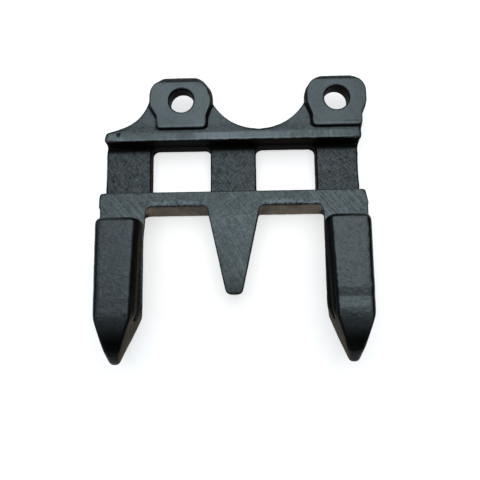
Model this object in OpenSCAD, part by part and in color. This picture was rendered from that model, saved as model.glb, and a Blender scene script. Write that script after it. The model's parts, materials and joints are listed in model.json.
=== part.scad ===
// Knife guard for a mower cutter bar: one steel forging with two long points, a short
// centre tooth and two bolt ears. The knife slides along X in the channel between the
// rear rib and the ledger, and its sections pass through the slots under the two lips.
// Millimetres. The points face -Y, the ears face +Y and the guard lies on Z = 0.

/* [Bolt ears] */
// Distance between the two bolt holes
bolt_pitch = 76.2; // [68:0.1:84]
// How far the middle of the bolt pair sits to the right of the centre tooth
bolt_shift = 13.2; // [10:0.1:15]
// Diameter of the bolt holes
bore_d = 11.9; // [8:0.1:16]
// Chamfer on the rim of each bolt hole
bore_chamfer = 0.6; // [0.2:0.1:1.5]
// Width of each ear
ear_w = 30.4; // [27:0.1:34]
// Extra width on the outer side of the left ear
ear_extra = 1.2; // [0:0.1:3]
// Reach of the ears behind the bolt line
ear_rear = 12; // [10:0.1:15]
// How far the flange stands out round the pads
pad_margin = 0.6; // [0.3:0.1:2]
// Radius of the two rear corners of an ear
ear_corner_r = 9; // [5:0.5:9]
// Length of the straight side of an ear
ear_side = 5.1; // [4:0.1:6]
// Length over which an ear narrows to its pad's front
ear_neck = 6; // [4:0.1:8]
// Radius of the bends in an ear's sides
ear_bend_r = 3.5; // [1:0.5:5]
// Thickness of the flange that carries the pads
flange_t = 4.7; // [3:0.1:7]
// Height of the ground pad above the flange
pad_rise = 3.8; // [1:0.1:6]
// Reach of the pads in front of the bolt line
pad_front = 14; // [12:0.1:15]
// Width of a pad at its front edge
pad_front_w = 24.4; // [20:0.1:26]
// Radius of the pad's front corners
pad_corner_r = 2; // [0.5:0.5:4]
// Depth of the round notch between the ears, in front of the bolt line
notch_depth = 13.6; // [10:0.1:14.5]
// Radius of the hollow that sweeps from the left ear to the rib
flank_r = 20; // [17:0.5:23]
// Slope of the flange's edge at its left end, in degrees
flank_slope = 22; // [16:1:26]
// Radius of the rib's left end, seen from above
flank_end_r = 3; // [1:0.5:4]

/* [Rear rib and knife channel] */
// Distance from the bolt line to the rib's front face
rib_front = 19.5; // [18:0.1:24]
// Width of the ground strip on top of the rib
rib_w = 3.7; // [2.5:0.1:4]
// Height of the rib above the flange
rib_rise = 0.8; // [0.3:0.1:2]
// Thickness of the wall under the rib
wall_t = 6; // [4:0.1:9]
// Radius on the edges of the ground strip
rib_edge_r = 0.4; // [0.2:0.1:0.7]
// How far each end of the rib stops short of the ledger's end
rib_inset = 2; // [0.8:0.1:3]
// Depth of the channel from the rib's top to the web floor
channel_depth = 9; // [6:0.1:10]
// Width of the channel from the rib to the ledger
channel_w = 25.5; // [18:0.1:34]
// Thickness of the webs
web_t = 7.5; // [5:0.1:10]
// Draft of the rib's front face, in degrees
rib_draft = 3; // [1:0.5:8]
// Fillet between the rib and the webs
rib_fillet_r = 3; // [1:0.5:4]
// Fillet between the ledger and the webs
bar_fillet_r = 1.5; // [0.5:0.5:3]
// Fillet under the flange, where it meets the wall
flange_fillet_r = 4; // [1:0.5:5]

/* [Windows] */
// Width of each window
window_w = 30.3; // [22:0.1:33]
// Distance between the middles of the two windows
window_pitch = 53.4; // [46:0.1:58]
// Radius of the window corners
window_r = 3; // [1:0.5:5]
// Clearance from the rib's foot to the windows
window_gap = 0.3; // [0.2:0.1:3]
// How far the end webs stop short of the ledger's end
web_inset = 0.9; // [0.3:0.1:1.5]
// Hollow in the outer edge of the end webs
waist = 0.5; // [0.3:0.1:3]

/* [Ledger and centre tooth] */
// Length of the ledger bar, end to end
ledger_l = 131; // [126:0.5:136]
// Height of the ledger's ground face above the web floor
ledger_rise = 8; // [5:0.1:10]
// Width of the bar's ground face
bar_w = 7.5; // [5:0.1:12]
// Draft of the bar's front face, in degrees
bar_draft = 8.5; // [2:0.5:15]
// Radius on the bar's front edge
bar_edge_r = 0.8; // [0.3:0.1:1.5]
// Radius of the lower edges of the bar and of the wall
base_edge_r = 1.5; // [0.5:0.5:3]
// Radius of the bar's rear corners
bar_corner_r = 0.8; // [0.3:0.1:0.8]
// Reach of the tooth in front of the bar
tooth_l = 42.6; // [30:0.1:60]
// Width of the tooth at the bar
tooth_root_w = 26; // [18:0.1:32]
// Width of the tooth at its tip
tooth_tip_w = 7.5; // [6:0.1:14]
// Thickness of the tooth at its tip
tooth_tip_t = 8; // [4:0.1:12]
// Radius of the corners at the tooth's tip
tooth_tip_r = 2.8; // [1:0.1:3]
// Fillet between the tooth and the bar
tooth_root_r = 3; // [1:0.5:6]

/* [Long points] */
// Distance between the middles of the two points
point_pitch = 107.6; // [103:0.1:108]
// Width of a point
point_w = 22.7; // [19:0.1:23]
// Distance from the bar to the tip
point_l = 73.8; // [68:0.1:90]
// Length of the tapered end
taper_l = 29.5; // [24:0.5:34]
// How far the tip sits outward of the point's middle
tip_shift = 1.1; // [0:0.1:3]
// Width of the tip
tip_w = 4.2; // [4:0.1:8]
// Height of the tip above the underside
tip_z = 16.5; // [14:0.1:20]
// Radius of the shoulders, where the taper starts
shoulder_r = 9; // [2:0.5:14]
// Length of the curve over the nose
nose_l = 26; // [21:0.5:28]
// Radius of the curve over the nose
nose_r = 32; // [31:0.5:45]
// Radius of the curve under the jaw
runner_r = 70; // [55:1:90]
// Length of the curve under the jaw
runner_l = 43.5; // [36:0.5:46]
// Length over which the ridges of the nose are rounded off
ridge_l = 42.5; // [36:0.5:50]
// Side draft of the lower jaw, in degrees
jaw_draft = 13; // [5:0.5:16]
// Radius of the jaw's lower edges
jaw_edge_r = 4; // [2:0.5:5]
// How far the lip overhangs the inner edge of the jaw
jaw_inset = 0.9; // [0.3:0.1:2]
// Fillet between the jaws and the bar
gap_r = 3.5; // [1:0.5:5]

/* [Lips and knife slots] */
// Distance from the bar's front edge to the rear of the lips
lip_setback = 6.8; // [4:0.1:12]
// Height of the knife slot
slot_h = 6.5; // [5:0.1:9]
// Length of the knife slot under the lip
slot_l = 47.7; // [40:0.1:50]
// Radius at the closed end of the slot
slot_r = 2; // [0.5:0.5:2.5]
// Thickness of the lip
lip_t = 7.5; // [6:0.1:10]
// Draft of the lip's inner side, in degrees
lip_draft = 9; // [4:0.5:12]
// Angle by which the lip narrows toward the tip, in degrees
lip_taper = 2.4; // [0:0.1:4]
// Draft of the outer side above the jaw, in degrees
outer_draft = 9.5; // [3:0.5:10]
// Radius of the lip's upper edges
lip_edge_r = 2.5; // [1:0.1:3.5]
// Radius of the lip's rear corners, seen from above
lip_corner_r = 3.5; // [1:0.5:5]

/* [Hidden] */
$fn = 96;
far = 200;
// Each arc meets its neighbours at this small angle, in degrees
blend = 4;
// How far cuts and joined blocks run past the faces that they meet
overlap = 1;
// How far the turned blank stands outside the flat faces of the nose
blank_margin = 0.8;

// Heights above the underside
floor_z = web_t;
rib_z = floor_z + channel_depth;
flange_z = rib_z - rib_rise;
ear_z = flange_z - flange_t;
pad_z = flange_z + pad_rise;
ledger_z = floor_z + ledger_rise;
slot_z = ledger_z + slot_h;
lip_z = slot_z + lip_t;
// The cuts that shape the lips start half way up the slot
cut_z = slot_z - slot_h / 2;

// Places along Y, with the bolt line at zero
rib_y = -rib_front;
foot_y = rib_y - channel_depth * tan(rib_draft);
bar_y = rib_y - channel_w;
edge_y = bar_y - bar_w;
front_y = edge_y - ledger_z * tan(bar_draft);
lip_y = edge_y - lip_setback;
slot_y = lip_y - slot_l;
tip_y = edge_y - point_l;
ridge_y = tip_y + ridge_l;

// Places along X, with the centre tooth at zero
bolt_x = [bolt_shift - bolt_pitch / 2, bolt_shift + bolt_pitch / 2];
bar_x = ledger_l / 2;
rib_x = bar_x - rib_inset;
web_x = bar_x - web_inset;
ear_left = bolt_x[0] - ear_w / 2 - ear_extra;
ear_right = bolt_x[1] + ear_w / 2;

// The notch ends on the inner sides of the ears, at the bolt line
notch_half = (bolt_pitch - ear_w) / 2;
notch_r = (pow(notch_half, 2) + pow(notch_depth, 2)) / (2 * notch_depth);

// The flank is a straight edge from the rib's end, then an arc that ends on the left ear
flank_end = [-rib_x, rib_y + rib_w];
flank_top = [ear_left, ear_rear - ear_corner_r];
flank_dir = [cos(flank_slope), sin(flank_slope)];
flank_off = flank_end + flank_r * cos(blend) * [-flank_dir[1], flank_dir[0]] - flank_top;
flank_run = -flank_off * flank_dir
    - sqrt(pow(flank_off * flank_dir, 2) - flank_off * flank_off + pow(flank_r, 2));
flank_c = flank_top + flank_off + flank_run * flank_dir;
flank_meet = flank_end + flank_run * flank_dir;

// Moves the model so that the middle of its footprint is the origin
origin = [-(ear_right - bar_x) / 2, -(ear_rear + tip_y) / 2, 0];

function unit(v) = v / norm(v);
function turn(a, b, c) = cross(b - a, c - b);

// The sliver between a corner and the arc that rounds it
module corner(at, from, to, r) {
    a = unit(from - at);
    b = unit(to - at);
    half = acos(a * b) / 2;
    centre = at + unit(a + b) * r * cos(blend) / sin(half);
    foot_a = at + a * r * cos(blend) / tan(half);
    foot_b = at + b * r * cos(blend) / tan(half);
    difference() {
        polygon([
            at + (at - centre) / 4,
            foot_a + (foot_a - centre) / 5,
            centre,
            foot_b + (foot_b - centre) / 5
        ]);
        translate(centre) circle(r);
    }
}

// A closed outline, drawn counter-clockwise, with its own radius at each corner
module outline(points, radii) {
    n = len(points);
    difference() {
        union() {
            polygon(points);
            for (i = [0:n - 1])
                if (radii[i] > 0 && turn(points[(i + n - 1) % n], points[i], points[(i + 1) % n]) < 0)
                    corner(points[i], points[(i + n - 1) % n], points[(i + 1) % n], radii[i]);
        }
        for (i = [0:n - 1])
            if (radii[i] > 0 && turn(points[(i + n - 1) % n], points[i], points[(i + 1) % n]) > 0)
                corner(points[i], points[(i + n - 1) % n], points[(i + 1) % n], radii[i]);
    }
}

// Draws a side profile, given as [y, z], across the width from -w to w
module across(w) {
    rotate([90, 0, 90]) translate([0, 0, -w]) linear_extrude(2 * w) children();
}

// Draws a front section, given as [x, z], along Y from the rear forward
module along(y, length) {
    translate([0, y, 0]) rotate([90, 0, 0]) linear_extrude(length) children();
}

// Outline of an ear about its bolt, drawn in by a margin, with extra width on its left side
module ear_plan(margin, extra) {
    w = ear_w / 2 - margin;
    f = pad_front_w / 2 + pad_margin - margin;
    rear = ear_rear - margin;
    front = -pad_front - pad_margin + margin;
    side = ear_rear - ear_corner_r - ear_side;
    neck = side - ear_neck;
    outline(
        [[w, rear], [-w - extra, rear], [-w - extra, side], [-f, neck],
            [-f, front], [f, front], [f, neck], [w, side]],
        [ear_corner_r - margin, ear_corner_r - margin, ear_bend_r, ear_bend_r,
            pad_corner_r, pad_corner_r, ear_bend_r, ear_bend_r]
    );
}

// Plan of the body: flange, rib, webs and bar
module body_plan() {
    waist_r = (pow(channel_w / 2, 2) + pow(waist, 2)) / (2 * waist);
    difference() {
        outline(
            [[-bar_x, front_y], [bar_x, front_y], [bar_x, bar_y], [web_x, bar_y], [rib_x, rib_y],
                [rib_x, -pad_front], [bolt_x[1], 0], [bolt_x[0], 0], flank_top, flank_meet,
                flank_end, [-rib_x, rib_y], [-web_x, bar_y], [-bar_x, bar_y]],
            [0, 0, bar_corner_r, 0, 0, 0, 0, 0, 0, 0, flank_end_r, 0, 0, bar_corner_r]
        );
        translate([bolt_shift, notch_r - notch_depth]) circle(notch_r);
        translate(flank_c) circle(flank_r);
        for (side = [-1, 1])
            intersection() {
                translate([side * ((rib_x + web_x) / 2 - waist + waist_r), (rib_y + bar_y) / 2])
                    circle(waist_r, $fn = 360);
                translate([-far, bar_y]) square([2 * far, channel_w]);
            }
    }
    translate([bolt_x[0], 0]) ear_plan(0, ear_extra);
    translate([bolt_x[1], 0]) ear_plan(0, 0);
}

// Side profile of the body, the same from end to end
module body_profile() {
    rear = ear_rear + overlap;
    outline(
        [[rear, ear_z], [rear, flange_z], [rib_y + rib_w, flange_z], [rib_y + rib_w, rib_z],
            [rib_y, rib_z], [foot_y, floor_z], [bar_y, floor_z], [bar_y, ledger_z],
            [edge_y, ledger_z], [front_y, 0], [rib_y + wall_t, 0], [rib_y + wall_t, ear_z]],
        [0, 0, rib_edge_r, rib_edge_r, rib_edge_r, rib_fillet_r, bar_fillet_r, 0, bar_edge_r,
            base_edge_r, base_edge_r, flange_fillet_r]
    );
}

module windows() {
    w = window_w / 2;
    rear = foot_y - window_gap;
    for (side = [-1, 1])
        translate([side * window_pitch / 2, 0, -overlap])
            linear_extrude(far)
                outline(
                    [[-w, bar_y], [w, bar_y], [w, rear], [-w, rear]],
                    [window_r, window_r, window_r, window_r]
                );
}

module body() {
    difference() {
        intersection() {
            linear_extrude(far) body_plan();
            across(far) body_profile();
        }
        windows();
    }
    translate([0, 0, flange_z - overlap])
        linear_extrude(pad_rise + overlap) {
            translate([bolt_x[0], 0]) ear_plan(pad_margin, ear_extra);
            translate([bolt_x[1], 0]) ear_plan(pad_margin, 0);
        }
}

// Centre tooth, with its underside rising toward the tip
module tooth() {
    r = tooth_root_w / 2;
    t = tooth_tip_w / 2;
    out = r + 2 * tooth_root_r;
    end = edge_y - tooth_l;
    intersection() {
        linear_extrude(ledger_z)
            outline(
                [[-t, end], [t, end], [r, edge_y], [out, edge_y], [out, bar_y - overlap],
                    [-out, bar_y - overlap], [-out, edge_y], [-r, edge_y]],
                [tooth_tip_r, tooth_tip_r, tooth_root_r, 0, 0, 0, 0, tooth_root_r]
            );
        across(far)
            polygon([[bar_y, 0], [bar_y, ledger_z], [end - overlap, ledger_z],
                [end - overlap, ledger_z - tooth_tip_t], [front_y, 0]]);
    }
}

// Plan of the right-hand point, about its own middle
module point_plan() {
    w = point_w / 2;
    t = tip_w / 2;
    outline(
        [[-w, bar_y - overlap], [-w, tip_y + taper_l], [tip_shift - t, tip_y],
            [tip_shift + t, tip_y], [w, tip_y + taper_l], [w, bar_y - overlap]],
        [0, shoulder_r, t * 0.9, t * 0.9, shoulder_r, 0]
    );
}

// Side profile of a point: jaw, nose and lip round the knife slot
module point_profile() {
    difference() {
        intersection() {
            translate([tip_y - overlap, 0]) square([far, lip_z]);
            union() {
                translate([tip_y + nose_l, lip_z - nose_r * cos(blend)]) circle(nose_r, $fn = 240);
                translate([tip_y + nose_l, -overlap]) square(far);
            }
            union() {
                translate([tip_y + runner_l, runner_r * cos(blend)]) circle(runner_r, $fn = 360);
                translate([tip_y + runner_l, -overlap]) square(far);
            }
        }
        outline(
            [[slot_y, ledger_z], [far, ledger_z], [far, far], [lip_y, far],
                [lip_y, slot_z], [slot_y, slot_z]],
            [slot_r, 0, 0, 0, 0, slot_r]
        );
        corner([lip_y, lip_z], [lip_y, 0], [tip_y, lip_z], lip_edge_r);
    }
}

// Front section of a point: drafted jaw below the ledger, drafted outer side above it
module point_section() {
    w = point_w / 2;
    jaw = w - jaw_inset;
    in = ledger_z * tan(jaw_draft);
    top = w - (lip_z - ledger_z) * tan(outer_draft);
    outline(
        [[in - jaw, 0], [w - in, 0], [w, ledger_z], [top, lip_z],
            [-w, lip_z], [-w, slot_z], [-jaw, ledger_z]],
        [jaw_edge_r, jaw_edge_r, 0, lip_edge_r, 0, 0, 0]
    );
}

// Everything outside the inner side of a lip, which starts at zero on the slot's roof
module lip_flank() {
    low = (cut_z - slot_z) * tan(lip_draft);
    high = lip_t * tan(lip_draft);
    outline(
        [[-point_w / 2, cut_z], [low, cut_z], [high, lip_z], [far, lip_z], [far, far], [-point_w / 2, far]],
        [0, 0, lip_edge_r, 0, 0, 0]
    );
}

// Turned blank that rounds off the ridges of the nose
module nose_blank() {
    base = norm([point_w / 2 + tip_shift, lip_z - tip_z]) + blank_margin;
    end = (tip_w + blank_margin) / 2;
    r = (pow(ridge_l, 2) + pow(base - end, 2)) / (2 * (base - end));
    translate([tip_shift, ridge_y, tip_z])
        rotate([90, 0, 0])
            rotate_extrude()
                intersection() {
                    square([base + overlap, ridge_l + overlap]);
                    translate([base - r, 0]) circle(r, $fn = 360);
                }
}

// Right-hand long point, about its own middle
module point() {
    w = point_w / 2;
    difference() {
        intersection() {
            linear_extrude(far) point_plan();
            across(w + overlap) point_profile();
            along(0, far) point_section();
        }
        translate([-w, lip_y + overlap, 0])
            rotate([0, 0, lip_taper])
                along(0, overlap + slot_l + taper_l / 2) lip_flank();
        for (side = [-1, 1])
            translate([0, 0, cut_z])
                linear_extrude(far)
                    corner([side * w, lip_y], [0, lip_y], [side * w, tip_y], lip_corner_r);
        difference() {
            translate([-w - overlap, tip_y - overlap, -overlap])
                cube([2 * (w + overlap), ridge_l + overlap, lip_z + 2 * overlap]);
            nose_blank();
        }
    }
}

// Fillet between the bar's front and the inner side of a jaw, leaning with the draft of both
module gap_fillet() {
    lean = atan(tan(bar_draft) * cos(jaw_draft));
    intersection() {
        translate([0, -far, base_edge_r]) cube([far, far, ledger_z - base_edge_r]);
        translate([point_pitch / 2 - point_w / 2 + jaw_inset, edge_y, ledger_z])
            rotate([-lean, -jaw_draft, 0])
                translate([0, 0, -2 * ledger_z])
                    linear_extrude(3 * ledger_z) corner([0, 0], [-1, 0], [0, -1], gap_r);
    }
}

module bores() {
    for (x = bolt_x)
        translate([x, 0, 0]) {
            translate([0, 0, -overlap]) cylinder(h = far, d = bore_d);
            translate([0, 0, pad_z - bore_chamfer])
                cylinder(
                    h = bore_chamfer + overlap,
                    r1 = bore_d / 2,
                    r2 = bore_d / 2 + bore_chamfer + overlap
                );
        }
}

module knife_guard() {
    color([0.33, 0.37, 0.38])
        translate(origin)
            difference() {
                union() {
                    body();
                    tooth();
                    for (side = [0, 1])
                        mirror([side, 0, 0]) {
                            translate([point_pitch / 2, 0, 0]) point();
                            gap_fillet();
                        }
                }
                bores();
            }
}

knife_guard();
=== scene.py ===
"""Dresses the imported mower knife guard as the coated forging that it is, on a pale floor."""

import json
import math

import bpy
import numpy as np
from mathutils import Matrix, Vector


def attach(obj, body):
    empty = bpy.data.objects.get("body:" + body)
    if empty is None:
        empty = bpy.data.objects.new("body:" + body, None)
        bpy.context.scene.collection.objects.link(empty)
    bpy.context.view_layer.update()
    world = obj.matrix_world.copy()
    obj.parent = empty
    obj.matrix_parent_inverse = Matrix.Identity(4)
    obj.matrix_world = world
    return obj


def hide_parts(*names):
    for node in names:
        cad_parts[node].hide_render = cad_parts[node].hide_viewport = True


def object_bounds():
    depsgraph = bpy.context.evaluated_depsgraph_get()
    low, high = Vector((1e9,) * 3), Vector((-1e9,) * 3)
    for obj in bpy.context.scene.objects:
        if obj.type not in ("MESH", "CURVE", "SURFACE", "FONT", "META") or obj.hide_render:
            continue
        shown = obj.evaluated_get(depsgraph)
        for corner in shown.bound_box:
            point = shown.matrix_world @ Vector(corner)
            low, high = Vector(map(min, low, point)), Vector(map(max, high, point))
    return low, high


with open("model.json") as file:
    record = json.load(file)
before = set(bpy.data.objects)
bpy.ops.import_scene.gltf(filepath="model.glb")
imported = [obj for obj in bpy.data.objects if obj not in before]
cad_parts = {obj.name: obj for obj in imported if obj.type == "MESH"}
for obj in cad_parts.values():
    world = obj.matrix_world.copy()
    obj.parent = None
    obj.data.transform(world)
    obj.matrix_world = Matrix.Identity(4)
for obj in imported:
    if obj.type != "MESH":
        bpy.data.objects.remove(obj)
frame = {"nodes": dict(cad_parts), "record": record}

bl_info = {
    "name": "Mower knife guard",
    "version": (1, 0, 0),
    "blender": (4, 5, 0),
    "location": "View3D > Sidebar > Guard",
    "description": "Gives the packed knife guard its forged skin, ground faces and dark coat",
    "category": "Object",
}

MM = 0.001
NODE = "knife_guard"
PIECE = "guard_forging"
CAD_BOX = [list(corner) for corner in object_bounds()]
MOUNTS = {mount["name"]: mount for mount in frame["record"]["mounts"]}

# Levels and places of the ground faces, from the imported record, in millimetres
PAD_Z = MOUNTS["pad_face"]["pos_m"][2] / MM
LEDGER_Z = MOUNTS["ledger_face"]["pos_m"][2] / MM
BOLT_X, BOLT_Y = (place / MM for place in MOUNTS["bolt_holes"]["pos_m"][:2])
BOLT_PITCH = MOUNTS["bolt_holes"]["dims"]["spacing_x_mm"]
BORE_R = MOUNTS["bolt_holes"]["dims"]["hole_r_mm"]

# Other places on the solid, in millimetres
AXIS_X = -0.5
RIB_Z, RIB_FRONT, RIB_REAR = 16.5, 37.65, 41.35
BAR_REAR, BAR_EDGE, BAR_FOOT = 12.15, 4.65, 1.5
FLANGE_Z = 15.7
PAD_FRONT, PAD_REAR = 43.0, 66.6
EAR_R, EAR_REAR = 9.0, 12.0
SLOT_Z = 22.0
JAW_INNER = 36.0
LIP_REAR = (-14.0, -8.0)
LEFT_STEP, RIGHT_STEP, STEP_L = -39.4, -35.6, 4.0

# Zones of the uneven forging, off the middle line or along Y, in millimetres: where each starts
# and where it is complete
WEB_SIDE = (50.0, 58.0)
BAR_END = (56.0, 64.0)
RIB_END = (57.0, 62.0)
POINT_SIDE = (38.0, 42.0)
LEAN_TIP_Y, BLUNT_TIP_Y, SOFT_TIP_Y = (-68.0, -46.0), (-69.0, -56.0), (-66.0, -58.0)
JAW_ROOT, JAW_ROOT_FRONT, JAW_ROOT_REAR = -42.0, (-13.0, 0.0), (3.5, 5.5)

# Zones of the looks, in millimetres: where a change starts and where it is complete
LEFT_TO_RIGHT = (-10.0, 10.0)
LEFT_LIP_X, RIGHT_LIP_X = (-20.0, 0.0), (0.0, 10.0)
RIGHT_PAD_X = (10.0, 40.0)
BURR_X = (-10.0, 24.0)
TOOTH_SIDE, TOOTH_Y = (10.0, 16.0), (-14.0, 3.0)
RIB_WALL_END = (62.2, 63.4)
SLOT_FLOOR_Y = (-3.2, -2.4)
CHANNEL_Y = (BAR_REAR, RIB_FRONT)
NOSE_Y = (-50.0, -44.0)
TIP_Y = (-60.0, -50.0)
BASE_Z = (0.3, 1.0)
UNDERSIDE_Z = (4.0, 6.0)
WEB_Z = (8.5, 12.0)
FOOT_Z = (10.0, 12.0)
GRAIN_Z = (8.5, 22.0)
LIP_Z = (20.0, 23.0)
LIP_TOP_Z = (18.0, 24.0)
ROLLED_Z = (24.3, 25.8)

# Bands of the looks from edge to edge, off the middle line or along Y, in millimetres
GAP_BAND = (14.0, 41.5)
FRONT_BAND = (12.5, 43.0)
WINDOW_BAND = (0.0, 52.0)
FOOT_BAND = (34.4, 39.0)

# Tones along the ledger's Y and across its X: where a change starts and where it is complete, in
# millimetres, with the tone before it and the tone after it
LEDGER_TONES = ((-38.0, -26.0, 0.66, 1.0), (-22.0, -6.0, 0.82, 1.0), (-2.0, 4.0, 1.0, 0.82))
LEDGER_TONE_X = (-30.0, 10.0, 0.95, 1.0)

# Marks of use: ticks across the strip, each with its X and darkness, a nick at the strip's
# left end and a dent line on the right pad
TICKS = ((34.5, 0.15), (37.1, 0.2), (39.5, 0.25), (41.7, 0.2), (44.4, 0.5), (47.3, 0.6),
         (50.1, 0.55), (53.2, 0.2), (56.5, 0.3))
TICK_W, TICK_LEAN = 0.4, 0.3
NICK_X, NICK_Y, NICK_R, NICK_DEPTH = -57.0, 41.3, 1.0, 0.6
DENT_LEFT, DENT_RIGHT, DENT_Y, DENT_W, DENT_DARK = 54.3, 61.3, 45.0, 0.6, 0.45

# Lean in degrees of the grinding lines, on the ledger and the pads and on the tooth, and of the
# streaks on the webs
GROUND_LEAN, TOOTH_LEAN = -40, -27
STREAK_LEANS = (-38, 45)

# The finishes in the order of their slots, the upward part of a face's normal that parts them, and
# how far a ground face has to belong to the ground places
SKIN, GROUND, SIDE, BORE = range(4)
WALL_UP, UNDER_UP, GROUND_UP = 0.5, -0.7, 0.93
GROUND_LEAST = 0.75
# Slopes between which the skin's coat is darkened to black, a painted shade of its slopes and roundings, and
# how much a slope to the rear counts
SHADED_SLOPES, REAR_SLOPE = (0.12, 0.42), 0.6


def linear(*srgb):
    """A colour written as 0 to 255, as Blender's linear colour."""
    return tuple((c / 255 / 12.92) if c <= 10 else ((c / 255 + 0.055) / 1.055) ** 2.4 for c in srgb)


class GuardForging(bpy.types.PropertyGroup):
    """Sizes of the forged skin."""
    voxel: bpy.props.FloatProperty(
        name="Skin mesh", description="Size of the cells that the skin is meshed with",
        default=0.4 * MM, min=0.3 * MM, unit="LENGTH", precision=5)
    edge_passes: bpy.props.IntProperty(
        name="Edge softening", description="How often all edges are eased",
        default=3, min=0)
    forged_passes: bpy.props.IntProperty(
        name="Forged softening", description="How often the as-forged edges are eased",
        default=14, min=0)
    lip_passes: bpy.props.IntProperty(
        name="Lip softening", description="How often the upper edges of the lips are eased",
        default=30, min=0)
    tip_passes: bpy.props.IntProperty(
        name="Tip softening", description="How often the tips of the points are eased",
        default=70, min=0)
    strip_passes: bpy.props.IntProperty(
        name="Strip softening", description="How often the strip's rear edge and the ends are eased",
        default=50, min=0)
    lip_corner: bpy.props.FloatProperty(
        name="Lip corners", description="Radius of the lips' rear corners, in millimetres", default=3.2)
    wave_depth: bpy.props.FloatProperty(
        name="Wave depth", description="Height of the long waves in the forged skin",
        default=0.16 * MM, unit="LENGTH", precision=5)
    wave_size: bpy.props.FloatProperty(
        name="Wave size", description="Length of the waves in the forged skin",
        default=5 * MM, unit="LENGTH", precision=5)
    pebble_depth: bpy.props.FloatProperty(
        name="Pebble depth", description="Height of the pebbles in the forged skin",
        default=0.1 * MM, unit="LENGTH", precision=5)
    pebble_size: bpy.props.FloatProperty(
        name="Pebble size", description="Width of the pebbles in the forged skin",
        default=1.3 * MM, unit="LENGTH", precision=5)
    burr_depth: bpy.props.FloatProperty(
        name="Burr depth", description="Height of the burrs on the rib's front edge",
        default=0.7 * MM, unit="LENGTH", precision=5)
    burr_size: bpy.props.FloatProperty(
        name="Burr size", description="Length of the burrs on the rib's front edge",
        default=2.2 * MM, unit="LENGTH", precision=5)
    step_depth: bpy.props.FloatProperty(
        name="Nose step", description="Step down on the points in front of their flat tops",
        default=0.3 * MM, unit="LENGTH", precision=5)
    triangles: bpy.props.IntProperty(
        name="Triangles", description="Most triangles in the finished skin",
        default=190000, min=1000)


class GuardFinish(bpy.types.PropertyGroup):
    """Colours of the coat."""
    ground: bpy.props.FloatVectorProperty(
        name="Ground faces", description="Coat on the pads, the strip and the ledger",
        subtype="COLOR", size=3, default=linear(78, 86, 89))
    skin: bpy.props.FloatVectorProperty(
        name="Forged skin", description="Coat on the as-forged upper faces and the underside",
        subtype="COLOR", size=3, default=linear(70, 77, 80))
    # Forged sides: a dark coat, with a warm brown painted reflection of brown surroundings in its colour
    side: bpy.props.FloatVectorProperty(
        name="Forged sides", description="Coat on the steep walls",
        subtype="COLOR", size=3, default=linear(66, 59, 49))
    # Bar front: a pale brown painted reflection of warm surroundings on the bar's front wall, between the
    # points
    front: bpy.props.FloatVectorProperty(
        name="Bar front", description="Thin, reflection_tinted coat on the bar's front wall, between the points",
        subtype="COLOR", size=3, default=linear(166, 153, 136))
    # Bore walls: near black, a painted shade inside the bolt holes
    bore: bpy.props.FloatVectorProperty(
        name="Bore walls", description="Coat inside the bolt holes",
        subtype="COLOR", size=3, default=linear(24, 22, 20))
    lines: bpy.props.FloatProperty(
        name="Grinding lines", description="How strongly the wheel's lines show", default=0.32)
    streaks: bpy.props.FloatProperty(
        name="Web streaks", description="How strongly the streaks on the webs show", default=0.45)


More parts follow.
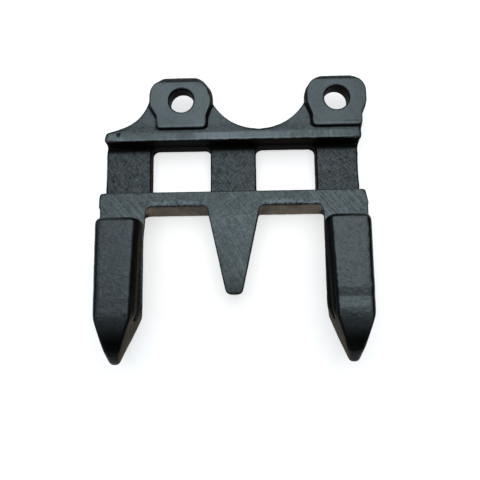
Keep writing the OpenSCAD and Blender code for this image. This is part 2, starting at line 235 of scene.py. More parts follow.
class GuardStage(bpy.types.PropertyGroup):
    """Floor, light and camera."""
    floor_size: bpy.props.FloatProperty(
        name="Floor", description="Side of the square floor",
        default=3.0, unit="LENGTH")
    floor_drop: bpy.props.FloatProperty(
        name="Floor drop", description="How far the floor lies below the underside",
        default=0.1 * MM, unit="LENGTH", precision=5)
    floor_colour: bpy.props.FloatVectorProperty(
        name="Floor colour", description="Colour of the pale floor",
        subtype="COLOR", size=3, default=(0.86, 0.86, 0.86))
    floor_glow: bpy.props.FloatProperty(
        name="Floor glow", description="How far the floor is lifted towards white", default=0.6)
    box_power: bpy.props.FloatProperty(
        name="Softbox", description="Power of the overhead softbox, in watts", default=4.35)
    box_place: bpy.props.FloatVectorProperty(
        name="Softbox place", description="Middle of the overhead softbox",
        subtype="TRANSLATION", size=3, default=(0.03, 0.34, 0.7))
    box_size: bpy.props.FloatVectorProperty(
        name="Softbox size", description="Width and depth of the overhead softbox",
        subtype="XYZ_LENGTH", size=2, default=(0.88, 0.92))
    box_colour: bpy.props.FloatVectorProperty(
        name="Softbox colour", description="Colour of the overhead softbox",
        subtype="COLOR", size=3, default=(0.93, 0.985, 1.0))
    side_power: bpy.props.FloatProperty(
        name="Sky side", description="Power of the bluish light from the left, in watts", default=0.8)
    side_place: bpy.props.FloatVectorProperty(
        name="Sky side place", description="Middle of the light from the left",
        subtype="TRANSLATION", size=3, default=(-0.7, 0.0, 0.22))
    side_turn: bpy.props.FloatProperty(
        name="Sky side turn", description="Turn of the light from the left towards the guard",
        subtype="ANGLE", default=math.radians(-75))
    side_size: bpy.props.FloatVectorProperty(
        name="Sky side size", description="Height and width of the light from the left",
        subtype="XYZ_LENGTH", size=2, default=(0.3, 0.8))
    side_colour: bpy.props.FloatVectorProperty(
        name="Sky side colour", description="Colour of the light from the left",
        subtype="COLOR", size=3, default=(0.4, 0.6, 1.0))
    fill: bpy.props.FloatProperty(
        name="Fill", description="Strength of the even light all round", default=0.14)
    fill_colour: bpy.props.FloatVectorProperty(
        name="Fill colour", description="Colour of the even light all round",
        subtype="COLOR", size=3, default=(0.95, 0.98, 1.0))
    eye: bpy.props.FloatVectorProperty(
        name="Camera", description="Place of the camera",
        subtype="TRANSLATION", size=3, default=(7.4 * MM, -43.23 * MM, 243.01 * MM))
    tilt: bpy.props.FloatProperty(
        name="Tilt", description="Lean of the view towards the ears",
        subtype="ANGLE", default=math.radians(7.8))
    side: bpy.props.FloatProperty(
        name="Side", description="Lean of the view to the left",
        subtype="ANGLE", default=math.radians(1.2))
    roll: bpy.props.FloatProperty(
        name="Roll", description="Turn of the picture",
        subtype="ANGLE", default=math.radians(-0.75))
    lens: bpy.props.FloatProperty(
        name="Lens", description="Focal length on a 36 mm frame", subtype="DISTANCE_CAMERA", default=36.0)


# Mesh helpers, with places in millimetres

def activate(piece):
    """Selects one object alone and makes it the active one."""
    bpy.ops.object.select_all(action="DESELECT")
    piece.select_set(True)
    bpy.context.view_layer.objects.active = piece


def use(piece, kind, **values):
    """Adds a modifier with these values and applies it."""
    modifier = piece.modifiers.new(kind.title(), kind)
    for key, value in values.items():
        setattr(modifier, key, value)
    bpy.ops.object.modifier_apply(modifier=modifier.name)


def places(piece):
    """The vertices' places, and their normals."""
    count = len(piece.data.vertices)
    co, no = np.empty(count * 3), np.empty(count * 3)
    piece.data.vertices.foreach_get("co", co)
    piece.data.vertices.foreach_get("normal", no)
    return co.reshape(-1, 3) / MM, no.reshape(-1, 3)


def rise(x, low, high):
    """0 below low and 1 above high, with a smooth rise between."""
    t = np.clip((x - low) / (high - low), 0, 1)
    return t * t * (3 - 2 * t)


def fall(x, low, high):
    """1 below low and 0 above high, with a smooth fall between."""
    return 1 - rise(x, low, high)


def near(x, middle, reach):
    """1 at the middle, falling smoothly to 0 at the reach."""
    return fall(np.abs(x - middle), 0, reach)


def from_bolts(x, y):
    """Distance from the nearer bolt's axis."""
    return np.hypot(np.abs(x - BOLT_X) - BOLT_PITCH / 2, y - BOLT_Y)


def ground_share(co):
    """How far each place belongs to a ground face, from 0 to 1."""
    _, y, z = co.T
    pads = near(z, PAD_Z, 1.0) * (y > RIB_REAR + 1)
    strip = near(z, RIB_Z, 0.8) * rise(y, RIB_FRONT - 0.8, RIB_FRONT) * fall(y, RIB_REAR, RIB_REAR + 0.6)
    ledger = near(z, LEDGER_Z, 1.0) * (y < BAR_REAR + 1)
    return np.clip(pads + strip + ledger, 0, 1)


def mark(piece, name, weights, steps=60):
    """A vertex group with one weight for each vertex."""
    group = piece.vertex_groups.new(name=name)
    levels = np.rint(np.clip(weights, 0, 1) * steps).astype(int)
    for level in range(1, steps + 1):
        chosen = np.nonzero(levels == level)[0]
        if len(chosen):
            group.add(chosen.tolist(), level / steps, "REPLACE")
    return group.name


def clouds(name, size, depth=2):
    """A soft noise for pressing into a surface."""
    texture = bpy.data.textures.new(name, "CLOUDS")
    texture.noise_scale = size
    texture.noise_depth = depth
    return texture


def press(piece, group, strength, direction="NORMAL", texture=None):
    """Moves the marked vertices, by the noise or all alike."""
    values = {"vertex_group": group, "strength": strength, "direction": direction}
    values["mid_level"] = 0.5 if texture else 0.0
    if texture:
        values["texture"] = texture
        values["texture_coords"] = "LOCAL"
    use(piece, "DISPLACE", **values)


# Shader helpers

class Nodes:
    """A node tree that is written from left to right."""

    def __init__(self, tree):
        self.tree = tree
        tree.nodes.clear()

    def add(self, kind, **values):
        """A node; inputs are given by name, or by place as in_0."""
        node = self.tree.nodes.new(kind)
        for key, value in values.items():
            if hasattr(node, key) and not key.startswith("in_"):
                setattr(node, key, value)
                continue
            name = key[3:] if key.startswith("in_") else key
            socket = node.inputs[int(name)] if name.isdigit() else node.inputs[name.replace("_", " ")]
            self.feed(socket, value)
        return node

    def feed(self, socket, value):
        """Links a socket to an output, or sets it to a plain value."""
        if isinstance(value, bpy.types.NodeSocket):
            self.tree.links.new(value, socket)
        else:
            socket.default_value = value

    def math(self, operation, a, b=0.0):
        """One sum of two values."""
        return self.add("ShaderNodeMath", operation=operation, in_0=a, in_1=b).outputs[0]

    def plus(self, a, b):
        """Two values added."""
        return self.math("ADD", a, b)

    def minus(self, a, b):
        """The second value taken from the first."""
        return self.math("SUBTRACT", a, b)

    def times(self, first, *others):
        """All the values multiplied."""
        for value in others:
            first = self.math("MULTIPLY", first, value)
        return first

    def darken(self, tone, mask, share=1.0):
        """A tone that loses this share of itself where the mask is 1."""
        return self.times(tone, self.minus(1.0, self.times(mask, share)))

    def lighten(self, tone, mask, share=1.0):
        """A tone that gains this share of itself where the mask is 1."""
        return self.times(tone, self.plus(1.0, self.times(mask, share)))

    def span(self, value, low, high, to_low=0.0, to_high=1.0):
        """Carries a value smoothly from one range to another."""
        node = self.add("ShaderNodeMapRange", interpolation_type="SMOOTHSTEP", in_Value=value)
        for name, number in (("From Min", low), ("From Max", high), ("To Min", to_low), ("To Max", to_high)):
            node.inputs[name].default_value = number
        return node.outputs[0]

    def spread(self, tone, to_low, to_high):
        """Carries a tone of 0 to 1 smoothly to another range."""
        return self.span(tone, 0.0, 1.0, to_low, to_high)

    def fall(self, value, low, high):
        """1 below low and 0 above high, with a smooth fall between."""
        return self.span(value, low, high, 1.0, 0.0)

    def band(self, value, low, high, blur):
        """1 between two places and 0 outside, with blurred ends."""
        start = self.span(value, low - blur, low + blur)
        return self.times(start, self.fall(value, high - blur, high + blur))

    def object_place(self):
        """The place on the object, in metres."""
        return self.add("ShaderNodeTexCoord").outputs["Object"]

    def place(self):
        """The place on the object in millimetres, as its three coordinates."""
        scaled = self.add("ShaderNodeVectorMath", operation="SCALE", in_0=self.object_place(),
                          in_Scale=1 / MM)
        return tuple(self.add("ShaderNodeSeparateXYZ", in_0=scaled.outputs[0]).outputs)

    def off_axis(self, x):
        """Distance from the guard's middle line."""
        return self.math("ABSOLUTE", self.minus(x, AXIS_X))

    def shared(self, group, **values):
        """A shared effect, from its node group."""
        return self.add("ShaderNodeGroup", node_tree=group, **values)

    def blend(self, first, second, share):
        """One colour, turning into another where the share is 1."""
        node = self.add("ShaderNodeMix", data_type="RGBA", in_0=share)
        node.inputs[6].default_value = (*first, 1)
        node.inputs[7].default_value = (*second, 1)
        return node.outputs[2]

    def shade(self, colour, tone):
        """A colour made lighter or darker by a tone."""
        node = self.add("ShaderNodeMix", data_type="RGBA", blend_type="MULTIPLY", in_0=1.0)
        self.feed(node.inputs[6], colour if isinstance(colour, bpy.types.NodeSocket) else (*colour, 1))
        self.feed(node.inputs[7], tone)
        return node.outputs[2]


def new_group(name, inputs, outputs):
    """An empty shader node group with float inputs and outputs."""
    tree = bpy.data.node_groups.new(name, "ShaderNodeTree")
    for label, default in inputs:
        socket = tree.interface.new_socket(label, in_out="INPUT", socket_type="NodeSocketFloat")
        socket.default_value = default
    for label in outputs:
        tree.interface.new_socket(label, in_out="OUTPUT", socket_type="NodeSocketFloat")
    nodes = Nodes(tree)
    start = nodes.add("NodeGroupInput")
    end = nodes.add("NodeGroupOutput")
    return nodes, start, end


def forged_grain():
    """Pebbles and dimples of a blasted forging under its coat."""
    n, start, end = new_group("forged_grain", [("Pebbles", 1200.0), ("Dimples", 380.0)], ["Height", "Tone"])
    place = n.object_place()
    fine = n.add("ShaderNodeTexNoise", in_Vector=place, in_Scale=start.outputs[0], in_Detail=3.0,
                 in_Roughness=0.6).outputs[0]
    wide = n.add("ShaderNodeTexNoise", in_Vector=place, in_Scale=start.outputs[1], in_Detail=2.0,
                 in_Roughness=0.5).outputs[0]
    n.feed(end.inputs[0], n.plus(n.times(fine, 0.5), n.times(wide, 0.8)))
    n.feed(end.inputs[1], n.plus(n.times(n.span(fine, 0.3, 0.7), 0.7), n.times(n.span(wide, 0.3, 0.7), 0.3)))
    return n.tree


def grinding_lines():
    """Straight scratches left by the wheel, across the turned X axis."""
    n, start, end = new_group(
        "grinding_lines", [("Turn", 0.0), ("Lines", 1500.0), ("Length", 20.0)], ["Height", "Tone"])
    turned = n.add("ShaderNodeVectorRotate", rotation_type="Z_AXIS", in_Vector=n.object_place(),
                   in_Angle=start.outputs[0]).outputs[0]
    parts = n.add("ShaderNodeSeparateXYZ", in_0=turned)
    across = n.times(parts.outputs[0], start.outputs[1])
    along = n.times(parts.outputs[1], start.outputs[2])
    stretched = n.add("ShaderNodeCombineXYZ", in_0=across, in_1=along).outputs[0]
    lines = n.add("ShaderNodeTexNoise", in_Vector=stretched, in_Scale=1.0, in_Detail=3.0,
                  in_Roughness=0.75).outputs[0]
    n.feed(end.inputs[0], lines)
    n.feed(end.inputs[1], n.span(lines, 0.28, 0.72))
    return n.tree


def coat_mottle():
    """Slow changes in the coat from place to place."""
    n, start, end = new_group("coat_mottle", [("Size", 45.0)], ["Tone"])
    slow = n.add("ShaderNodeTexNoise", in_Vector=n.object_place(), in_Scale=start.outputs[0], in_Detail=4.0,
                 in_Roughness=0.65).outputs[0]
    n.feed(end.inputs[0], n.span(slow, 0.3, 0.7))
    return n.tree


def new_material(name):
    """An empty material and its nodes."""
    material = bpy.data.materials.new(name)
    material.use_nodes = True
    return material, Nodes(material.node_tree)


def coat(n, colour, roughness, height, depth, metallic, specular):
    """The coat's shader, with its bump."""
    bump = n.add("ShaderNodeBump", in_Strength=1.0, in_Distance=depth, in_Height=height)
    shader = n.add("ShaderNodeBsdfPrincipled", in_Metallic=metallic, in_Roughness=roughness,
                   in_Normal=bump.outputs[0])
    n.feed(shader.inputs["Base Color"], colour)
    shader.inputs["Specular IOR Level"].default_value = specular
    n.add("ShaderNodeOutputMaterial", in_0=shader.outputs[0])


def ground_finish(finish, groups):
    """Ground steel under the coat: lines that lean one way, marks of use, a burnished bar edge, painted
    highlights on the strip's and the pads' front edges, and a painted shade on the slot's floor.
    """
    material, n = new_material("ground_face")
    x, y, _ = n.place()
    off = n.off_axis(x)
    strip = n.band(y, RIB_FRONT - 1.5, RIB_REAR + 1.5, 0.5)
    tooth = n.times(n.fall(y, *TOOTH_Y), n.fall(off, *TOOTH_SIDE))
    lean = n.plus(n.times(tooth, math.radians(TOOTH_LEAN - GROUND_LEAN)), math.radians(GROUND_LEAN))
    lines = n.shared(groups["lines"], in_Turn=n.times(n.minus(1.0, strip), lean))
    mottle = n.shared(groups["mottle"]).outputs["Tone"]
    grain = n.shared(groups["grain"]).outputs["Tone"]
    depth = n.plus(n.span(y, *CHANNEL_Y, 1.0, 0.2), n.times(strip, 0.4))
    depth = n.times(depth, n.span(mottle, 0.1, 0.9, 0.6, 1.2))
    tone = n.plus(n.times(n.spread(lines.outputs["Tone"], -finish.lines, finish.lines), depth),
                  n.spread(mottle, 0.92, 1.08))
    tone = n.plus(tone, n.times(n.spread(grain, -1.0, 1.0), n.span(y, *CHANNEL_Y, 0.3, 0.1)))
    # The ledger darkens along the tooth, and the rear faces darken a little to the right
    ledger = n.times(n.span(x, *LEDGER_TONE_X), *(n.span(y, *tones) for tones in LEDGER_TONES))
    rear = n.span(y, *CHANNEL_Y)
    right = n.times(rear, n.span(x, *RIGHT_PAD_X, 0.0, 0.12))
    tone = n.times(tone, n.minus(n.math("MAXIMUM", ledger, rear), right))
    tone = n.lighten(tone, strip, n.spread(mottle, -0.16, 0.3))
    tone = ground_marks(n, tone, x, y, strip)
    tone = ground_edges(n, tone, x, y, off, grain, mottle)
    # Painted shade: the slot's floor under the right lip is painted black, where the lip shades it
    slot_floor_shade = n.times(n.span(off, GAP_BAND[1] - 0.4, GAP_BAND[1] + 0.4), n.fall(y, *SLOT_FLOOR_Y))
    tone = n.darken(tone, slot_floor_shade, n.span(x, *LEFT_TO_RIGHT, 0.0, 0.92))
    coat(n, n.shade(finish.ground, tone), n.spread(lines.outputs["Tone"], 0.34, 0.42),
         lines.outputs["Height"], depth=0.02 * MM, metallic=0.8, specular=0.5)
    return material


def ground_marks(n, tone, x, y, strip):
    """Darkens the ticks across the strip and the dent line on the right pad."""
    across = n.plus(x, n.times(n.minus(y, RIB_FRONT), TICK_LEAN))
    for tick_x, dark in TICKS:
        tick = n.times(n.band(across, tick_x - TICK_W / 2, tick_x + TICK_W / 2, 0.2), strip)
        tone = n.minus(tone, n.times(tick, dark))
    dent = n.times(n.band(x, DENT_LEFT, DENT_RIGHT, 1.5),
                   n.band(y, DENT_Y - DENT_W / 2, DENT_Y + DENT_W / 2, 0.4))
    return n.minus(tone, n.times(dent, DENT_DARK))


def ground_edges(n, tone, x, y, off, grain, mottle):
    """Lightens the strip's and the pads' front edges with a painted highlight and the bar's burnished front
    edge in the gaps, and blackens the bar's ragged burr.
    """
    rim_highlights = n.plus(n.times(n.band(y, RIB_FRONT - 1.0, RIB_FRONT + 0.9, 0.6), 0.45),
                  n.times(n.band(y, PAD_FRONT - 1.0, PAD_FRONT + 1.4, 0.5), 0.26))
    tone = n.plus(tone, n.times(rim_highlights, n.span(grain, 0.2, 0.8, 0.7, 1.3)))
    gaps = n.band(off, *GAP_BAND, 3.0)
    wander = n.plus(y, n.spread(mottle, -0.7, 0.7))
    edge = n.times(gaps, n.band(wander, BAR_EDGE + 0.7, BAR_EDGE + 2.4, 0.7))
    tone = n.plus(tone, n.times(edge, n.span(grain, 0.2, 0.8, 0.0, 0.6)))
    ragged = n.plus(y, n.span(grain, 0.2, 0.8, -0.5, 0.7))
    burr = n.times(gaps, n.span(x, *BURR_X, 0.4, 0.85), n.fall(ragged, BAR_EDGE + 0.5, BAR_EDGE + 1.0))
    return n.darken(tone, burr)


def skin_finish(finish, groups):
    """As-forged skin under the coat, streaked, with painted shade darker down in the webs, black where it
    slopes and at the tips, and painted highlights on the rims and a nose.
    """
    material, n = new_material("forged_skin")
    x, y, z = n.place()
    grain = n.shared(groups["grain"])
    mottle = n.shared(groups["mottle"]).outputs["Tone"]
    above = n.span(z, *UNDERSIDE_Z)
    lips = n.span(z, *LIP_Z)
    lip_tops = n.span(z, *LIP_TOP_Z)
    tone = n.plus(n.times(n.spread(grain.outputs["Tone"], -1.0, 1.0), n.span(z, *GRAIN_Z, 0.26, 0.22)),
                  n.spread(mottle, 0.88, 1.12))
    streaks = []
    for lean in STREAK_LEANS:
        lines = n.shared(groups["lines"], in_Turn=math.radians(lean), in_Lines=1900.0, in_Length=230.0)
        streaks.append(n.span(lines.outputs["Tone"], 0.1, 0.9, -finish.streaks, finish.streaks))
    tone = n.plus(tone, n.times(n.plus(*streaks), n.fall(z, *WEB_Z), above))
    # Painted shade and light: the webs down in the channel are darker, partly a rougher skin there, and the
    # lips' tops lighter, on the left point less so, where the light falls off
    tone = n.times(tone, n.span(z, *WEB_Z, 0.54, 0.9), n.span(z, *LIP_TOP_Z, 1.0, 1.11))
    tone = n.darken(tone, n.times(lip_tops, n.fall(x, *LEFT_LIP_X)), 0.26)
    # A painted shade across each nose at its low step, and a painted highlight on a band in front of the
    # right one
    ahead = n.minus(y, n.span(x, *LEFT_TO_RIGHT, LEFT_STEP, RIGHT_STEP))
    step = n.times(lips, n.band(ahead, -STEP_L, 0.0, 0.25))
    tone = n.darken(tone, step, n.span(x, *LEFT_TO_RIGHT, 0.05, 0.2))
    nose_highlight = n.times(lips, n.band(ahead, -2.2 * STEP_L, -STEP_L, 0.8))
    tone = n.lighten(tone, nose_highlight, n.span(x, *LEFT_TO_RIGHT, 0.0, 0.25))
    # Painted shade: black tips and a black rib foot in the channel; painted highlights: light rims on the
    # strip and the pads
    tone = n.darken(tone, n.times(n.fall(y, *TIP_Y), above), 0.96)
    rib_foot_shade = n.times(n.band(y, *FOOT_BAND, 1.0), n.fall(z, *FOOT_Z), above)
    tone = n.darken(tone, rib_foot_shade, 0.9)
    strip_rim_highlight = n.times(n.band(y, RIB_FRONT - 1.0, RIB_FRONT + 0.8, 0.3), n.span(z, RIB_Z - 1.2, RIB_Z - 0.6))
    pad_rim_highlight = n.times(n.band(y, PAD_FRONT - 1.0, PAD_FRONT + 1.0, 0.3), n.span(z, PAD_Z - 1.2, PAD_Z - 0.6))
    tone = n.lighten(tone, n.math("MAXIMUM", strip_rim_highlight, pad_rim_highlight))
    # Painted shade: the level attribute darkens the skin towards black where it slopes
    level = n.add("ShaderNodeAttribute", attribute_name="level").outputs["Fac"]
    tone = n.times(tone, n.spread(level, 0.1, 1.0))
    coat(n, n.shade(finish.skin, tone), n.spread(mottle, 0.3, 0.38),
         grain.outputs["Height"], depth=0.18 * MM, metallic=0.8, specular=0.5)
    return material


def side_finish(finish, groups):
    """Steep walls, with scale under the coat and a warm brown painted reflection; the bar's front is paler, a
    painted reflection, and the rib's front, the window walls, the pads' fronts, the lips' rolled tops and the
    right lip's inner wall are darkened, a painted shade.
    """
    material, n = new_material("forged_side")
    x, y, z = n.place()
    off = n.off_axis(x)
    grain = n.shared(groups["grain"])
    mottle = n.shared(groups["mottle"]).outputs["Tone"]
    above = n.span(z, *BASE_Z)
    slots = n.span(y, *NOSE_Y)
    tone = n.plus(n.spread(grain.outputs["Tone"], 0.75, 1.15), n.spread(mottle, -0.2, 0.2))
    # Painted shade: the rib's front wall is darkened nearly to black
    rib = n.times(n.band(y, RIB_FRONT - 4.5, RIB_FRONT + 0.4, 0.8), n.fall(off, *RIB_WALL_END), above)
    tone = n.darken(tone, rib, 0.94)
    # Painted shade: the right lip's inner wall is darkened towards its rear
    right_lip_shade = n.times(n.span(x, *RIGHT_LIP_X), n.span(z, *LIP_Z), slots)
    tone = n.darken(tone, right_lip_shade, 0.85)
    tone = n.lighten(tone, n.fall(y, *NOSE_Y), n.span(x, *LEFT_TO_RIGHT, 1.2, 0.7))
    # Painted shade: the rolled upper edges of the lips' walls are darkened
    tone = n.darken(tone, n.times(n.span(z, *ROLLED_Z), slots), 0.85)
    # Painted shade: the walls of the windows are darkened
    window_shade = n.times(n.band(y, BAR_REAR - 0.5, RIB_FRONT - 1.5, 0.5), n.band(off, *WINDOW_BAND, 1.0), above)
    tone = n.darken(tone, window_shade, 0.6)
    # Painted shade: the pads' front walls are darkened
    pads = n.times(n.span(y, PAD_FRONT - 1.5, PAD_FRONT - 0.5), n.span(z, FLANGE_Z - 0.2, FLANGE_Z + 0.5))
    tone = n.darken(tone, pads, 0.7)
    # Painted reflection: the bar's front wall between the points takes the pale brown front colour
    front = n.times(n.band(y, BAR_FOOT, BAR_EDGE, 0.4), n.band(off, *FRONT_BAND, 1.0), above)
    coat(n, n.shade(n.blend(finish.side, finish.front, front), tone), 0.6,
         grain.outputs["Height"], depth=0.15 * MM, metallic=0.0, specular=0.01)
    return material


def bore_finish(finish, groups):
    """Drilled walls of the bolt holes, in a near-black colour that is a painted shade inside the holes."""
    material, n = new_material("bore_wall")
    rings = n.add("ShaderNodeTexWave", bands_direction="Z", in_Vector=n.object_place(), in_Scale=330.0,
                  in_Distortion=1.5, in_Detail=2.0).outputs[1]
    mottle = n.shared(groups["mottle"]).outputs["Tone"]
    tone = n.plus(n.spread(rings, 0.8, 1.1), n.spread(mottle, -0.15, 0.15))
    coat(n, n.shade(finish.bore, tone), n.spread(rings, 0.4, 0.5),
         rings, depth=0.04 * MM, metallic=0.0, specular=0.01)
    return material


class GUARD_OT_forging(bpy.types.Operator):
    """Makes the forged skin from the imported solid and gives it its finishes"""
    bl_idname = "guard.forging"
    bl_label = "Guard forging"

    def execute(self, context):
        sizes = context.scene.guard_forging
        piece = self.skin_of_solid(sizes.voxel)
        self.hand_forge(piece)
        self.round_lips(piece, sizes.lip_corner)
        self.ease_edges(piece, sizes)
        self.step_noses(piece, sizes.step_depth)
        self.nick_strip(piece)
        self.rough_skin(piece, sizes)
        self.thin_out(piece, sizes.triangles)
        self.dress(piece, context.scene.guard_finish)
        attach(piece, "root")
        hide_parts(NODE)
        return {"FINISHED"}

    def skin_of_solid(self, voxel):
        """A closed, even skin over a copy of the solid."""
        piece = bpy.data.objects.new(PIECE, frame["nodes"][NODE].data.copy())
        bpy.context.scene.collection.objects.link(piece)
        activate(piece)
        bpy.ops.object.mode_set(mode="EDIT")
        bpy.ops.mesh.select_all(action="SELECT")
        bpy.ops.mesh.remove_doubles(threshold=0.0001 * MM)
        bpy.ops.object.mode_set(mode="OBJECT")
        use(piece, "REMESH", mode="VOXEL", voxel_size=voxel)
        return piece

    def hand_forge(self, piece):
        """Uneven places, where this guard differs from its even solid."""
        co, _ = places(piece)
        x, y, z = co.T
        off = x - AXIS_X
        web = rise(y, BAR_REAR + 0.3, BAR_REAR + 1.5) * fall(y, RIB_FRONT - 3, RIB_FRONT + 1)
        bar_end = rise(y, 3, BAR_REAR) * fall(y, BAR_REAR + 1, BAR_REAR + 2)
        rib_left = off[(z > RIB_Z - 1) & (y < RIB_REAR)].min()
        rib_end = fall(off, rib_left + 1, rib_left + 9) * rise(y, RIB_REAR - 4, RIB_REAR)
        behind_rib = rise(y, RIB_REAR - 0.4, RIB_REAR) * fall(y, RIB_REAR, RIB_REAR + 6)
        flange_top = rise(z, FLANGE_Z - 0.8, FLANGE_Z - 0.3) * fall(z, FLANGE_Z + 0.3, RIB_Z - 0.05)
        jaw_root = near(off, JAW_ROOT, 4) * rise(y, *JAW_ROOT_FRONT) * fall(y, *JAW_ROOT_REAR)
        tails = self.ear_tails(co)
        ear_ends = tails * rise(y, PAD_REAR, PAD_REAR + 2) * np.where(x < BOLT_X, 1, 0.5)
        for name, share, depth, direction in (
                ("left_web", web * rise(-off, *WEB_SIDE), -0.9, "X"),
                ("right_web", web * rise(off, *WEB_SIDE), -0.6, "X"),
                ("right_end", bar_end * rise(off, *BAR_END), -1.1, "X"),
                ("left_tip", rise(-off, *POINT_SIDE) * fall(y, *LEAN_TIP_Y), -0.9, "X"),
                ("tip_ends", np.where(off < 0, 1, 0.5) * fall(y, *BLUNT_TIP_Y), -1.0, "Y"),
                ("rib_end", rib_end, 1.0, "Y"),
                ("rib_slope", flange_top * behind_rib, RIB_Z - FLANGE_Z, "Z"),
                ("pad_tail", tails * rise(z, FLANGE_Z - 3, PAD_Z), -1.7, "Z"),
                ("ear_tail", ear_ends, 1.4, "Y"),
                ("jaw_root", jaw_root, 1.2, "X")):
            press(piece, mark(piece, name, share), depth * MM, direction)

    def ear_tails(self, co):
        """How far the pads slope at their rear edges, and at the left ear's inner rear corner."""
        x, y, z = co.T
        off = x - AXIS_X
        rear = CAD_BOX[1][1] / MM
        tails = np.clip((y - PAD_REAR) / (rear - PAD_REAR), 0, 1) * np.where(x < BOLT_X, 1, 0.8)
        beside, behind = x - (BOLT_X - BOLT_PITCH / 2), y - BOLT_Y
        ear_side = beside[(np.abs(behind) < 1) & (z > FLANGE_Z) & (off < 0)].max()
        corner = np.hypot(np.maximum(beside - ear_side + EAR_R, 0), np.maximum(behind - EAR_REAR + EAR_R, 0))
        corner = np.clip(1 + (corner - EAR_R) / 2.0, 0, 1) * rise(behind, 1, 5) * (off < 0) * (beside > 0)
        return np.maximum(tails, corner)

    def round_lips(self, piece, radius):
        """Rounds the rear corners of the two lips, seen from above."""
        co, _ = places(piece)
        x, y, z = co.T
        levels = np.arange(SLOT_Z + 0.25, z.max(), 0.5)
        moves = np.zeros((len(co), 2))
        for side in (-1, 1):
            out = side * (x - AXIS_X)
            lip = (out > JAW_INNER) & (z > SLOT_Z) & (y > LIP_REAR[0])
            inner, outer, rear = [], [], []
            for level in levels:
                cut = lip & (np.abs(z - level) < 0.4)
                straight = out[cut & (y < LIP_REAR[1])]
                inner.append(straight.min())
                outer.append(straight.max())
                rear.append(y[cut].max())
            behind = np.interp(z, levels, rear) - y
            for edge, way in ((inner, 1), (outer, -1)):
                beside = way * (out - np.interp(z, levels, edge))
                a, b = radius - beside, radius - behind
                reach = np.hypot(a, b) / radius
                share = np.where(lip & (a > 0) & (b > 0) & (reach > 1), 1 - 1 / np.maximum(reach, 1), 0)
                moves[:, 0] += side * way * a * share
                moves[:, 1] -= b * share
        most = np.abs(moves).max()
        for name, share, depth, direction in (
                ("corner_right", moves[:, 0] / most, most, "X"),
                ("corner_left", -moves[:, 0] / most, -most, "X"),
                ("corner_ahead", -moves[:, 1] / most, -most, "Y")):
            press(piece, mark(piece, name, share), depth * MM, direction)

    def ease_edges(self, piece, sizes):
        """Breaks all edges a little and rounds the forged edges more."""
        use(piece, "SMOOTH", factor=0.5, iterations=sizes.edge_passes)
        co, _ = places(piece)
        x, y, z = co.T
        off = np.abs(x - AXIS_X)
        bar_left = AXIS_X - CAD_BOX[0][0] / MM
        rib_ends = rise(off, *RIB_END) * near(y, (RIB_FRONT + RIB_REAR) / 2, 5) * rise(z, 9, 12)
        for name, share, passes in (
                ("forged", 1 - ground_share(co), sizes.forged_passes),
                ("lips", rise(z, SLOT_Z + 0.5, SLOT_Z + 3), sizes.lip_passes),
                ("tips", fall(y, *SOFT_TIP_Y), sizes.tip_passes),
                ("strip", near(y, RIB_REAR, 3.5) * near(z, RIB_Z - 0.4, 1.6), sizes.strip_passes),
                ("ends", near(off, bar_left, 4) * near(y, BAR_REAR, 4), sizes.strip_passes),
                ("rib_ends", rib_ends, sizes.strip_passes)):
            use(piece, "SMOOTH", factor=0.5, iterations=passes, vertex_group=mark(piece, name, share))

    def step_noses(self, piece, depth):
        """A low step across each point, where its flat top ends, and lower on the left."""
        co, _ = places(piece)
        x, y, z = co.T
        start = np.where(x < 0, LEFT_STEP, RIGHT_STEP)
        front = np.clip((start - y) / STEP_L, 0, 1) * rise(z, SLOT_Z, SLOT_Z + 3) * np.where(x < 0, 0.4, 1)
        press(piece, mark(piece, "nose", front), -depth, "Z")

    def nick_strip(self, piece):
        """The nick in the strip's left end."""
        co, _ = places(piece)
        x, y, z = co.T
        nick = near(np.hypot(x - NICK_X, 0.6 * (y - NICK_Y)), 0, NICK_R) * (z > RIB_Z - 2)
        press(piece, mark(piece, "nick", nick), -NICK_DEPTH * MM, "Z")

    def rough_skin(self, piece, sizes):
        """Burrs on the rib, and waves and pebbles everywhere but on the ground faces and in the bores."""
        co, _ = places(piece)
        x, y, z = co.T
        skin = (1 - ground_share(co)) * rise(from_bolts(x, y), BORE_R + 0.3, BORE_R + 1)
        group = mark(piece, "skin", skin)
        burr = near(y, RIB_FRONT, 1.2) * near(z, RIB_Z, 2.0)
        press(piece, mark(piece, "burr", burr), sizes.burr_depth, "Y", clouds("burrs", sizes.burr_size, 1))
        press(piece, group, sizes.wave_depth, texture=clouds("waves", sizes.wave_size))
        press(piece, group, sizes.pebble_depth, texture=clouds("pebbles", sizes.pebble_size, 1))

    def thin_out(self, piece, triangles):
        """Merges triangles where the skin is flat."""
        now = sum(len(face.vertices) - 2 for face in piece.data.polygons)
        use(piece, "DECIMATE", ratio=min(1.0, triangles / now))
        piece.vertex_groups.clear()

    def dress(self, piece, finish):
        """Smooth shading, and a finish for each kind of face."""
        activate(piece)
        bpy.ops.object.shade_smooth()
        groups = {"grain": forged_grain(), "lines": grinding_lines(), "mottle": coat_mottle()}
        piece.data.materials.clear()
        for make in (skin_finish, ground_finish, side_finish, bore_finish):
            piece.data.materials.append(make(finish, groups))
        count = len(piece.data.polygons)
        middle, normal = np.empty(count * 3), np.empty(count * 3)
        piece.data.polygons.foreach_get("center", middle)
        piece.data.polygons.foreach_get("normal", normal)
        middle, up = middle.reshape(-1, 3) / MM, normal.reshape(-1, 3)[:, 2]
        x, y, _ = middle.T
        kind = np.where((up < WALL_UP) & (up > UNDER_UP), SIDE, SKIN)
        kind[(ground_share(middle) > GROUND_LEAST) & (up > GROUND_UP)] = GROUND
        kind[(from_bolts(x, y) < BORE_R + 0.4) & (up < WALL_UP)] = BORE
        piece.data.polygons.foreach_set("material_index", kind.astype(np.int32))
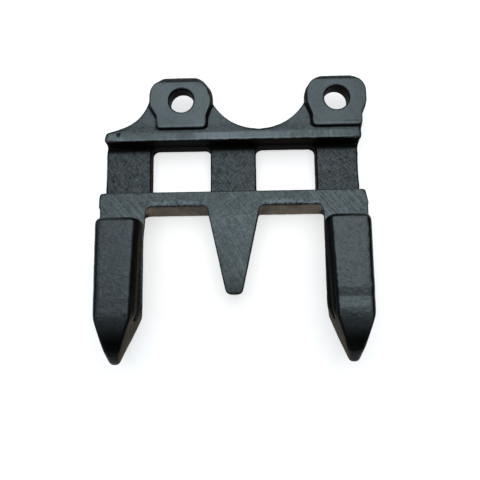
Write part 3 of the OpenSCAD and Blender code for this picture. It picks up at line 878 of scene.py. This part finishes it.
        # The level attribute carries the painted shade of the slopes, from each vertex's normal
        _, normals = places(piece)
        slope = np.maximum(np.abs(normals[:, 0]), REAR_SLOPE * normals[:, 1])
        level = piece.data.attributes.new("level", "FLOAT", "POINT")
        level.data.foreach_set("value", fall(slope, *SHADED_SLOPES))
        piece.data.update()


class GUARD_OT_stage(bpy.types.Operator):
    """Sets the floor, the light and the camera"""
    bl_idname = "guard.stage"
    bl_label = "Floor, light and camera"

    def execute(self, context):
        stage = context.scene.guard_stage
        context.scene.view_settings.view_transform = "Standard"
        self.floor(stage)
        self.lamp("softbox", stage.box_place, 0.0, stage.box_size, stage.box_power, stage.box_colour)
        self.lamp("sky_side", stage.side_place, stage.side_turn, stage.side_size, stage.side_power,
                  stage.side_colour)
        self.fill(context.scene, stage)
        self.camera(context.scene, stage)
        return {"FINISHED"}

    def floor(self, stage):
        """A pale floor that shows white and keeps the shadow."""
        bpy.ops.object.select_all(action="DESELECT")
        bpy.ops.mesh.primitive_plane_add(size=stage.floor_size, location=(0, 0, -stage.floor_drop))
        floor = bpy.context.object
        floor.name = "floor"
        material, n = new_material("pale_floor")
        path = n.add("ShaderNodeLightPath")
        seen = n.math("MAXIMUM", path.outputs["Is Camera Ray"],
                      n.math("MAXIMUM", path.outputs["Is Glossy Ray"], path.outputs["Is Transmission Ray"]))
        shader = n.add("ShaderNodeBsdfPrincipled", in_Roughness=0.9)
        shader.inputs["Base Color"].default_value = (*stage.floor_colour, 1)
        shader.inputs["Specular IOR Level"].default_value = 0.0
        shader.inputs["Emission Color"].default_value = (1, 1, 1, 1)
        n.feed(shader.inputs["Emission Strength"], n.times(seen, stage.floor_glow))
        n.add("ShaderNodeOutputMaterial", in_0=shader.outputs[0])
        floor.data.materials.append(material)

    def lamp(self, name, place, turn, size, power, colour):
        """A wide, soft lamp that shines down, or is turned towards the guard."""
        bpy.ops.object.light_add(type="AREA", location=place, rotation=(0, turn, 0))
        lamp = bpy.context.object
        lamp.name = name
        lamp.data.shape = "RECTANGLE"
        lamp.data.size, lamp.data.size_y = size
        lamp.data.energy = power
        lamp.data.color = colour

    def fill(self, scene, stage):
        """A low, even light all round."""
        scene.world = bpy.data.worlds.new("studio")
        scene.world.use_nodes = True
        n = Nodes(scene.world.node_tree)
        sky = n.add("ShaderNodeBackground", in_0=(*stage.fill_colour, 1), in_1=stage.fill)
        n.add("ShaderNodeOutputWorld", in_0=sky.outputs[0])

    def camera(self, scene, stage):
        """The camera over the guard, as it was photographed."""
        bpy.ops.object.camera_add()
        camera = bpy.context.object
        camera.name = "camera"
        ahead = Vector((-math.sin(stage.side), math.sin(stage.tilt), -math.cos(stage.tilt))).normalized()
        right = ahead.cross(Vector((0, 1, 0))).normalized()
        up = right.cross(ahead)
        turned = math.cos(stage.roll) * right + math.sin(stage.roll) * up
        up = -math.sin(stage.roll) * right + math.cos(stage.roll) * up
        aim = Matrix((turned, up, -ahead)).transposed().to_4x4()
        camera.matrix_world = Matrix.Translation(stage.eye) @ aim
        camera.data.sensor_width = 36.0
        camera.data.lens = stage.lens
        camera.data.clip_start = 0.01
        scene.camera = camera


class GUARD_PT_panel(bpy.types.Panel):
    """The guard's pieces and sizes in the sidebar"""
    bl_idname = "GUARD_PT_panel"
    bl_label = "Knife guard"
    bl_space_type = "VIEW_3D"
    bl_region_type = "UI"
    bl_category = "Guard"

    def draw(self, context):
        for operator, group in (("guard.stage", "guard_stage"), ("guard.forging", "guard_forging"),
                                (None, "guard_finish")):
            box = self.layout.box()
            if operator:
                box.operator(operator)
            values = getattr(context.scene, group)
            for name in values.__annotations__:
                box.prop(values, name)


CLASSES = (GuardForging, GuardFinish, GuardStage, GUARD_OT_forging, GUARD_OT_stage, GUARD_PT_panel)
GROUPS = {"guard_forging": GuardForging, "guard_finish": GuardFinish, "guard_stage": GuardStage}


def register():
    """Adds the classes and their sizes to Blender."""
    for cls in CLASSES:
        bpy.utils.register_class(cls)
    for name, cls in GROUPS.items():
        setattr(bpy.types.Scene, name, bpy.props.PointerProperty(type=cls))


def unregister():
    """Takes the classes and their sizes out again."""
    for name in GROUPS:
        delattr(bpy.types.Scene, name)
    for cls in reversed(CLASSES):
        bpy.utils.unregister_class(cls)


def main():
    """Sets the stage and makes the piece."""
    register()
    bpy.ops.guard.stage()
    bpy.ops.guard.forging()


if __name__ == "__main__":
    main()
